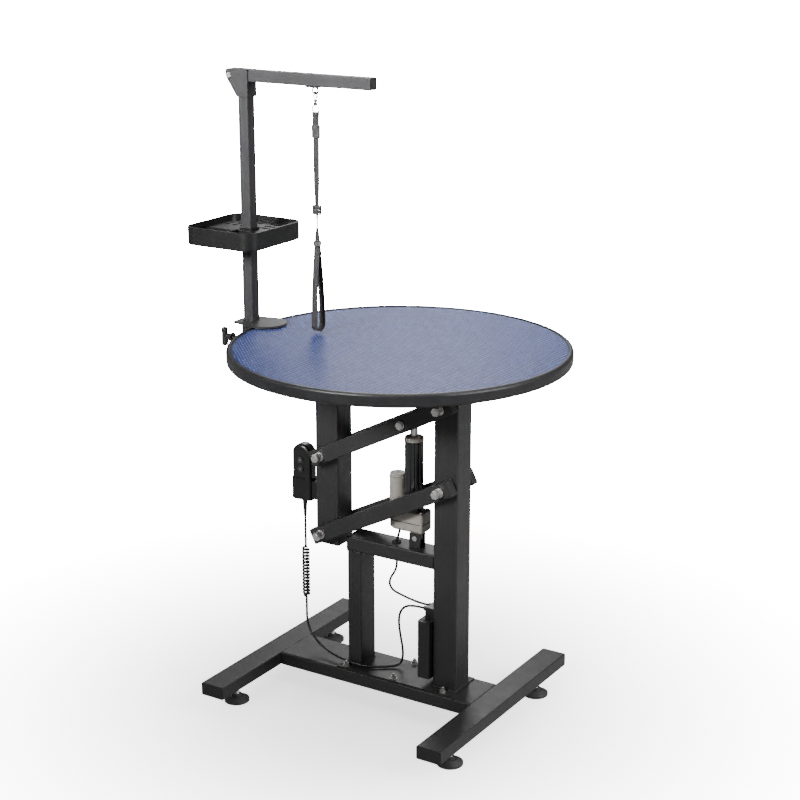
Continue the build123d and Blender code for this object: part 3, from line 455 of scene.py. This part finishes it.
def strain_relief():
    """A ribbed rubber sleeve that thins towards the lead."""
    bm = bmesh.new()
    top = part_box("handset_strain_relief")[1][2]
    profile = [(2.3, 0), (2.9, 0.4)]
    for rib in range(8):
        height, radius = 2 + rib * 3.8, 3.1 + rib * 0.24
        profile += [(radius, height), (radius, height + 2.2), (radius - 0.7, height + 2.5),
                    (radius - 0.7, height + 3.3)]
    profile += [(5, 32.8), (5, 38.6), (2.9, 38.9), (2.9, (top - RELIEF_BOTTOM) / MM)]
    add_lathe(bm, [(r * MM, h * MM) for r, h in profile], (HANDSET_X, 0, RELIEF_BOTTOM))
    obj = piece_from(bm, "strain_relief_sleeve", "handset", "cable_black")
    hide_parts("handset_strain_relief")


# ---- table top -----------------------------------------------------------------------------
def textured_mat():
    """The rubber mat with its square grid of small raised studs."""
    low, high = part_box("rubber_mat")
    centre = (Vector(low) + Vector(high)) / 2
    radius = (high[0] - low[0]) / 2
    valley = high[2] - STUD_RISE
    bm = bmesh.new()
    rim = [(radius - 0.6 * MM, low[2]), (radius, low[2] + 0.5 * MM), (radius, valley - 0.4 * MM),
           (radius - 0.8 * MM, valley)]
    add_lathe(bm, rim, (centre.x, centre.y, 0), steps=160)
    reach = int(radius / STUD_PITCH)
    foot, tip = 2.7 * MM, 1.3 * MM
    for column in range(-reach, reach + 1):
        for row in range(-reach, reach + 1):
            x, y = column * STUD_PITCH, row * STUD_PITCH
            if math.hypot(x, y) > radius - 4.5 * MM:
                continue
            rings = []
            for half, z in ((foot, valley - 0.05 * MM), (tip, high[2])):
                rings.append([bm.verts.new((centre.x + x + half * dx, centre.y + y + half * dy, z))
                              for dx, dy in ((1, 0), (0, 1), (-1, 0), (0, -1))])
            for side in range(4):
                after = (side + 1) % 4
                bm.faces.new((rings[0][side], rings[0][after], rings[1][after], rings[1][side]))
            bm.faces.new(rings[1])
            bm.faces.new(rings[0][::-1])
    obj = piece_from(bm, "textured_mat", "table", "mat_blue", smooth=False)
    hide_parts("rubber_mat")


# ---- strap ---------------------------------------------------------------------------------
STRAP_X = -122 * MM
STRAP_WIDTH = 12.6 * MM
STRAP_HALF_THICK = 0.8 * MM
RING_Z = 1115 * MM
RING_RADIUS = 7.5 * MM
BEAD_Z = 872 * MM
EYE_Z = 1148.1 * MM
# Corners of the webbing's section, as shares of its half width and half thickness.
STRAP_SECTION = ((-1, -0.6), (-0.94, -1), (0.94, -1), (1, -0.6),
                 (1, 0.6), (0.94, 1), (-0.94, 1), (-1, 0.6))
# Height in millimetres and the webbing's turn there in degrees.
TWIST_KNOTS = ((1055, 0), (990, 4), (955, 20), (925, 42), (905, 46), (880, 14), (868, 0))


def ribbon(bm, line, width, half_thick, twist=None):
    """A flat strap along a line of (y, z) points in the plane x = STRAP_X; twist turns its width."""
    rings = []
    for index, (y, z) in enumerate(line):
        before, after = line[max(index - 1, 0)], line[min(index + 1, len(line) - 1)]
        along = Vector((0, after[0] - before[0], after[1] - before[1])).normalized()
        across = Vector((1, 0, 0))
        if twist:
            across = Matrix.Rotation(twist(z), 3, along) @ across
        normal = along.cross(across).normalized()
        middle = Vector((STRAP_X, y, z))
        ring = []
        for a, n in STRAP_SECTION:
            ring.append(bm.verts.new(middle + across * (a * width / 2) + normal * (n * half_thick)))
        rings.append(ring)
    for ring, after in zip(rings, rings[1:]):
        for side in range(len(STRAP_SECTION)):
            following = (side + 1) % len(STRAP_SECTION)
            bm.faces.new((ring[side], ring[following], after[following], after[side]))
    bm.faces.new(rings[0])
    bm.faces.new(rings[-1][::-1])


def strap():
    """Webbing folded over the ring, straight to the bead, then the noose."""
    bm = bmesh.new()
    ring_low = RING_Z - RING_RADIUS
    wrap = 2.4 * MM
    fold = [(0.9 * MM, 1075 * MM), (0.9 * MM, 1098 * MM), (1.6 * MM, 1103 * MM)]
    for step in range(13):
        angle = math.radians(-20 + 220 * step / 12)
        fold.append((wrap * math.cos(angle), ring_low + wrap * math.sin(angle)))
    fold += [(-1.6 * MM, 1103 * MM), (-0.9 * MM, 1098 * MM), (-0.9 * MM, 1075 * MM)]
    ribbon(bm, fold, STRAP_WIDTH, STRAP_HALF_THICK)
    count = 60
    top, bottom = 1090 * MM, BEAD_Z + 3 * MM
    straight = [(0, top + (bottom - top) * k / count) for k in range(count + 1)]
    ribbon(bm, straight, STRAP_WIDTH, STRAP_HALF_THICK, strap_twist)
    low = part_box("grooming_strap")[0]
    radius = 12.6 * MM
    centre = low[2] + radius + 1.2 * MM
    neck = BEAD_Z - 4 * MM
    noose = []
    for k in range(25):
        t = k / 24
        noose.append((radius * math.sin(math.pi / 2 * (1 - t)) * 0.999 + 0.9 * MM * t,
                      centre + (neck - centre) * t))
    bend = [(radius * math.cos(a), centre + radius * math.sin(a))
            for a in (math.radians(-180 + 180 * k / 24) for k in range(1, 24))]
    left = [(-y, z) for y, z in noose[::-1]]
    ribbon(bm, left + bend + noose, STRAP_WIDTH, STRAP_HALF_THICK)
    obj = piece_from(bm, "webbing_strap", "strap", "strap_webbing")
    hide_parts("grooming_strap")


def strap_twist(z):
    """How far the webbing is turned at this height: 46 degrees at most, a little above the bead."""
    height = z / MM
    if height >= TWIST_KNOTS[0][0]:
        return 0.0
    for (above, start), (below, finish) in zip(TWIST_KNOTS, TWIST_KNOTS[1:]):
        if height >= below:
            share = (above - height) / (above - below)
            return math.radians(start + (finish - start) * share * share * (3 - 2 * share))
    return 0.0


def snap():
    """A chrome snap: bent hook, thumb stud, swivel and ring."""
    low = EYE_Z - 14 * MM
    hook = []
    for step in range(15):
        angle = math.radians(-75 + 300 * step / 14)
        hook.append(Vector((STRAP_X, 5.2 * MM * math.cos(angle),
                            EYE_Z - 8.1 * MM + 5.6 * MM * math.sin(angle))))
    body = meshed(spline("snap_hook_bow", hook, 1.7 * MM, resolution=8))
    clad(body, "chrome")
    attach(body, "strap")
    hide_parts("snap_hook")
    bm = bmesh.new()
    profile = [(1.2, 0), (3.4, 0.5), (3.9, 2), (3.9, 4.5), (2.6, 5.2), (2.2, 6.2), (3.4, 7.2), (3.7, 9.6),
               (2.6, 11), (1.8, 12)]
    base = RING_Z + RING_RADIUS - 1 * MM
    add_lathe(bm, [(r * MM, h * MM) for r, h in profile], (STRAP_X, 0, base))
    add_lathe(bm, [(1.1 * MM, 0), (1.5 * MM, 0.4 * MM), (1.5 * MM, 2.6 * MM), (0.9 * MM, 3.2 * MM)],
              (STRAP_X, 4.6 * MM, low + 3 * MM), "Y", 16)
    piece_from(bm, "snap_hook_swivel", "strap", "chrome")
    loop = [Vector((STRAP_X + RING_RADIUS * math.cos(a), 0, RING_Z + RING_RADIUS * math.sin(a)))
            for a in (2 * math.pi * k / 16 for k in range(16))]
    ring = meshed(spline("strap_ring", loop, 1.5 * MM, closed=True))
    clad(ring, "chrome")
    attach(ring, "strap")


def slider_face():
    """Bright pressed loops round the strap slider's black body."""
    low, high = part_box("strap_slider")
    bm = bmesh.new()
    for z in (low[2] + 1 * MM, (low[2] + high[2]) / 2 - 1 * MM, high[2] - 3 * MM):
        for y in (low[1] - 0.5 * MM, high[1] - 0.5 * MM):
            add_box(bm, (low[0] - 0.5 * MM, y, z), (high[0] + 0.5 * MM, y + 1 * MM, z + 2 * MM), 0.4 * MM)
        for x in (low[0] - 0.5 * MM, high[0] - 0.5 * MM):
            add_box(bm, (x, low[1], z), (x + 1 * MM, high[1], z + 2 * MM), 0.4 * MM)
    piece_from(bm, "slider_loops", "slider", "chrome")


# ---- small details -------------------------------------------------------------------------
GLAND_Z = 209 * MM
HOUSING_SEAM_Z = 374 * MM
GRIP_FROM, GRIP_STEP = 422, 6
LINK_SLOPE = math.radians(27)
LINK_PIVOT_X = 167.5 * MM
LINK_PIVOT_Z = {"lower_links": 458 * MM, "upper_links": 612.5 * MM}
PLUG_THICK = 0.9 * MM
# Where the end plugs begin, along a link from its pivot in the column.
PLUG_STARTS = (22 * MM, -312 * MM - PLUG_THICK)


def weld_bead(name, x0, x1, y, z):
    """A rippled bead round a tube's foot, from its corner limits."""
    corners = [Vector((x0, -y, z)), Vector((x1, -y, z)), Vector((x1, y, z)), Vector((x0, y, z))]
    points = []
    for corner, after in zip(corners, corners[1:] + corners[:1]):
        steps = max(2, round((after - corner).length / (2.2 * MM)))
        for step in range(steps):
            lift = (step % 2) * 0.35 * MM
            points.append(corner.lerp(after, step / steps) + Vector((0, 0, lift)))
    obj = meshed(spline(name, points, 1.5 * MM, closed=True, resolution=3))
    clad(obj, "frame_black")
    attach(obj, "base")


def welds():
    """Beads round the feet of both columns and round the top of the left one."""
    flange_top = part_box("frame_bottom_plate")[1][2]
    for node in ("left_support_column", "right_main_column"):
        low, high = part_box(node)
        weld_bead(f"weld_{node}", low[0], high[0], high[1], flange_top + 0.3 * MM)
    low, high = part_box("left_support_column")
    weld_bead("weld_channel", low[0], high[0], high[1] - 0.8 * MM, high[2] - 0.6 * MM)


def socket_screws(name, places, axis, body, slot="zinc"):
    """Small domed heads with a round recess."""
    bm = bmesh.new()
    for place in places:
        add_lathe(bm, [(2.9 * MM, 0), (2.9 * MM, 1.2 * MM), (2.3 * MM, 2 * MM), (1.4 * MM, 2.2 * MM),
                       (1.3 * MM, 1.2 * MM), (0.3 * MM, 1.1 * MM)], place, axis, 18)
    piece_from(bm, name, body, slot)


def control_box_details():
    """Raised cover panel with four screws, a lamp on top and the gland nuts."""
    low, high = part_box("control_box_case")
    bm = bmesh.new()
    add_box(bm, (low[0] - 0.7 * MM, low[1] + 6 * MM, low[2] + 8 * MM),
            (low[0] + 1 * MM, high[1] - 6 * MM, high[2] - 8 * MM), 0.6 * MM)
    piece_from(bm, "control_box_cover", "base", "gloss_black")
    places = [(low[0] + 1 * MM, y, z) for y in (low[1] + 10 * MM, high[1] - 10 * MM)
              for z in (low[2] + 13 * MM, high[2] - 13 * MM)]
    socket_screws("control_box_screws", places, "X", "base", "cap_plastic")
    bm = bmesh.new()
    add_lathe(bm, [(1.6 * MM, 0), (1.6 * MM, 1 * MM), (0.8 * MM, 1.5 * MM)],
              (low[0] + 12 * MM, 0, high[2]), "Z", 16)
    lens = piece_from(bm, "power_lamp", "base", "gloss_black")
    lens.data.materials.clear()
    lens.data.materials.append(LED_GREEN)
    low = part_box("control_box_connectors")[0]
    bm = bmesh.new()
    for y in (-8 * MM, 8 * MM):
        profile = [(3.9, 0), (4.6, 0.6), (4.6, 5.4), (4.1, 6.2), (4.1, 7.6)]
        add_lathe(bm, [(r * MM, h * MM) for r, h in profile], (low[0] + 0.2 * MM, y, GLAND_Z), "X", 12)
    piece_from(bm, "gland_nuts", "base", "cap_plastic")


def actuator_details():
    """Tube collar, motor cap ring, housing screws and the housing's joint line."""
    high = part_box("gear_housing")[1]
    motor_low, motor_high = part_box("motor_housing")
    tube_low, tube_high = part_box("actuator_tube")
    motor_x, tube_x = (motor_low[0] + motor_high[0]) / 2, (tube_low[0] + tube_high[0]) / 2
    bm = bmesh.new()
    tube_radius = (tube_high[1] - tube_low[1]) / 2
    add_lathe(bm, [(tube_radius - 1 * MM, 0), (tube_radius + 1.4 * MM, 0), (tube_radius + 1.4 * MM, 3 * MM),
                   (tube_radius + 0.4 * MM, 5 * MM), (tube_radius - 1 * MM, 5 * MM)],
              (tube_x, 0, tube_low[2]), "Z", 48)
    piece_from(bm, "tube_collar", "base", "tube_black")
    bm = bmesh.new()
    motor_radius = (motor_high[1] - motor_low[1]) / 2
    add_lathe(bm, [(motor_radius - 1 * MM, 0), (motor_radius + 0.7 * MM, 0.4 * MM),
                   (motor_radius + 0.7 * MM, 2.4 * MM), (motor_radius - 1 * MM, 2.8 * MM)],
              (motor_x, 0, motor_high[2] - 9 * MM), "Z", 48)
    piece_from(bm, "motor_cap_ring", "base", "housing_grey")
    places = [(high[0] - 5.5 * MM, y * MM, motor_low[2]) for y in (-13, 13)]
    socket_screws("housing_screws", places, "Z", "base")
    bm = bmesh.new()
    half = 18 * MM
    outline = [Vector((high[0] - 5 * MM, -half, 0)), Vector((high[0], -half + 5 * MM, 0)),
               Vector((high[0], half - 5 * MM, 0)), Vector((high[0] - 5 * MM, half, 0))]
    centre_x = motor_x + 4 * MM
    for step in range(19):
        angle = math.radians(90 + 180 * step / 18)
        outline.append(Vector((centre_x + half * math.cos(angle), half * math.sin(angle), 0)))
    middle = Vector(((high[0] + centre_x) / 2, 0, 0))
    rings = []
    for grow, rise in ((-0.5, -0.9), (0.6, -0.5), (0.6, 0.5), (-0.5, 0.9)):
        lift = Vector((0, 0, HOUSING_SEAM_Z + rise * MM))
        rings.append([bm.verts.new(p + (p - middle).normalized() * grow * MM + lift) for p in outline])
    for ring, after in zip(rings, rings[1:] + rings[:1]):
        for side in range(len(outline)):
            following = (side + 1) % len(outline)
            bm.faces.new((ring[side], ring[following], after[following], after[side]))
    piece_from(bm, "housing_seam", "base", "cap_plastic")


def handset_details():
    """Grip ribs on the two narrow sides and arrow marks on the keys."""
    low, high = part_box("handset_front_shell")
    bm = bmesh.new()
    for side, x in ((-1, low[0]), (1, high[0])):
        x0, x1 = sorted((x - side * 0.8 * MM, x + side * 0.5 * MM))
        for rib in range(6):
            z = (GRIP_FROM + rib * GRIP_STEP) * MM
            add_box(bm, (x0, -5 * MM, z), (x1, 5 * MM, z + 2 * MM), 0.5 * MM)
    piece_from(bm, "handset_grip_ribs", "handset", "cap_plastic")
    for body, node, turn in (("up_button", "button_up", 1), ("down_button", "button_down", -1)):
        key_low, key_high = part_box(node)
        z = (key_low[2] + key_high[2]) / 2
        y = key_low[1]
        bm = bmesh.new()
        tri = [(0, 2.6 * turn), (2.6, -1.6 * turn), (-2.6, -1.6 * turn)]
        front = [bm.verts.new((HANDSET_X + x * MM, y - 0.25 * MM, z + h * MM)) for x, h in tri]
        back = [bm.verts.new((HANDSET_X + x * MM, y + 0.3 * MM, z + h * MM)) for x, h in tri]
        bm.faces.new(front)
        bm.faces.new(back[::-1])
        for side in range(3):
            after = (side + 1) % 3
            bm.faces.new((front[side], front[after], back[after], back[side]))
        mark = piece_from(bm, f"{node}_mark", body, "button_grey", smooth=False)
        mark.data.materials.clear()
        mark.data.materials.append(KEY_MARK)


def link_end_grips():
    """Ribbed plastic plugs on the links' square ends."""
    for body, nodes in (("lower_links", ("front_lower_link", "rear_lower_link")),
                        ("upper_links", ("front_upper_link", "rear_upper_link"))):
        pivot = Vector((LINK_PIVOT_X, 0, LINK_PIVOT_Z[body]))
        turn = Matrix.Translation(pivot) @ Matrix.Rotation(-LINK_SLOPE, 4, "Y")
        bm = bmesh.new()
        for node in nodes:
            low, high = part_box(node)
            y0, y1 = low[1] + 1.2 * MM, high[1] - 1.2 * MM
            for start in PLUG_STARTS:
                for rib in range(6):
                    z = (-12.6 + rib * 4.4) * MM
                    before = set(bm.verts)
                    add_box(bm, (start - 0.6 * MM, y0, z),
                            (start + PLUG_THICK + 0.6 * MM, y1, z + 2.8 * MM), 0.4 * MM)
                    added = [v for v in bm.verts if v not in before]
                    bmesh.ops.transform(bm, matrix=turn, verts=added)
        piece_from(bm, f"{body}_end_plugs", body, "cap_plastic")


# ---- stage ---------------------------------------------------------------------------------
# To camera rays only, the floor is paler and glows, and the sky is bright.
# The table is lit by the four lamps, by the weak sky and by what the darker floor sends back.
FLOOR_HALF = 40
FLOOR_DROP = 0.5 * MM
FLOOR_SEEN, FLOOR_UNSEEN = (0.95, 0.95, 0.95), (0.4, 0.4, 0.4)
GLOW_NEAR, GLOW_RISE = 1.5, 60
GLOW_FROM, GLOW_TO = 0.1, 3.0
SKY_LIGHT, SKY_SEEN = 0.22, 60.0


def stage():
    """The floor, the sky and the four lamps."""
    mesh = bpy.data.meshes.new("floor")
    bm = bmesh.new()
    bmesh.ops.create_grid(bm, x_segments=1, y_segments=1, size=FLOOR_HALF)
    bm.to_mesh(mesh)
    bm.free()
    floor = bpy.data.objects.new("floor", mesh)
    bpy.context.collection.objects.link(floor)
    floor.location.z = -FLOOR_DROP
    white = Shader("floor_white", (0.9, 0.9, 0.9), 0.6, 0.0, Specular_IOR_Level=0.1)
    seen = white.node("ShaderNodeLightPath").outputs["Is Camera Ray"]
    white.bsdf.inputs["Emission Color"].default_value = (1, 1, 1, 1)
    reach = white.node("ShaderNodeVectorMath", operation="LENGTH")
    white.link(white.place, reach.inputs[0])
    away = white.node("ShaderNodeMapRange", interpolation_type="SMOOTHSTEP")
    away.inputs["From Min"].default_value = GLOW_FROM
    away.inputs["From Max"].default_value = GLOW_TO
    white.link(reach.outputs["Value"], away.inputs["Value"])
    glow = white.math("ADD", white.math("MULTIPLY", away.outputs[0], GLOW_RISE), GLOW_NEAR)
    white.link(white.math("MULTIPLY", seen, glow), white.bsdf.inputs["Emission Strength"])
    white.tint(seen, 0.0, 1.0, FLOOR_UNSEEN, FLOOR_SEEN)
    floor.data.materials.append(white.material)

    world = bpy.data.worlds.new("studio")
    bpy.context.scene.world = world
    world.use_nodes = True
    nodes, links = world.node_tree.nodes, world.node_tree.links
    sky = nodes["Background"]
    sky.inputs["Color"].default_value = (1, 1, 1, 1)
    seen = nodes.new("ShaderNodeLightPath")
    strength = nodes.new("ShaderNodeMapRange")
    strength.inputs["To Min"].default_value = SKY_LIGHT
    strength.inputs["To Max"].default_value = SKY_SEEN
    links.new(seen.outputs["Is Camera Ray"], strength.inputs["Value"])
    links.new(strength.outputs[0], sky.inputs["Strength"])

    def area(name, place, target, size, power, spread=180):
        data = bpy.data.lights.new(name, "AREA")
        data.shape = "RECTANGLE"
        data.size, data.size_y = size
        data.energy = power
        data.spread = math.radians(spread)
        lamp = bpy.data.objects.new(name, data)
        lamp.location = place
        lamp.rotation_euler = (Vector(target) - Vector(place)).to_track_quat("-Z", "Y").to_euler()
        bpy.context.collection.objects.link(lamp)

    middle = (0, 0, 0.55)
    area("key_right", (3.2, 0.4, 2.2), middle, (2.0, 2.4), 165)
    area("top_soft", (0.2, 0.1, 3.4), middle, (2.6, 2.6), 62)
    area("back_soft", (-1.45, 2.5, 2.2), (0, 0, 0.6), (0.9, 1.2), 24)
    area("fill_front", (-0.6, -3.2, 2.4), (-0.1, 0, 1.3), (1.6, 1.0), 34, 34)


def camera():
    """Looks from 32 degrees round and 16.7 degrees up, 3.18 m away."""
    data = bpy.data.cameras.new("camera")
    data.sensor_width = 36
    data.lens = 78.77
    view = bpy.data.objects.new("camera", data)
    target = Vector((55.6, 0, 601.6)) * MM
    distance = 3.1808
    azimuth, elevation = math.radians(31.98), math.radians(16.69)
    back = Vector((math.sin(azimuth) * math.cos(elevation), -math.cos(azimuth) * math.cos(elevation),
                   math.sin(elevation)))
    view.location = target + back * distance
    view.rotation_euler = (-back).to_track_quat("-Z", "Y").to_euler()
    bpy.context.collection.objects.link(view)
    bpy.context.scene.camera = view


coat_cad_nodes()
loose_cord("handset_cord_run", "handset_cord", route(CORD_ROUTE))
loose_cord("actuator_cable_run", "actuator_cable", route(CABLE_ROUTE))
curly_cord()
lead()
strain_relief()
textured_mat()
strap()
snap()
slider_face()
welds()
control_box_details()
actuator_details()
handset_details()
link_end_grips()
stage()
camera()
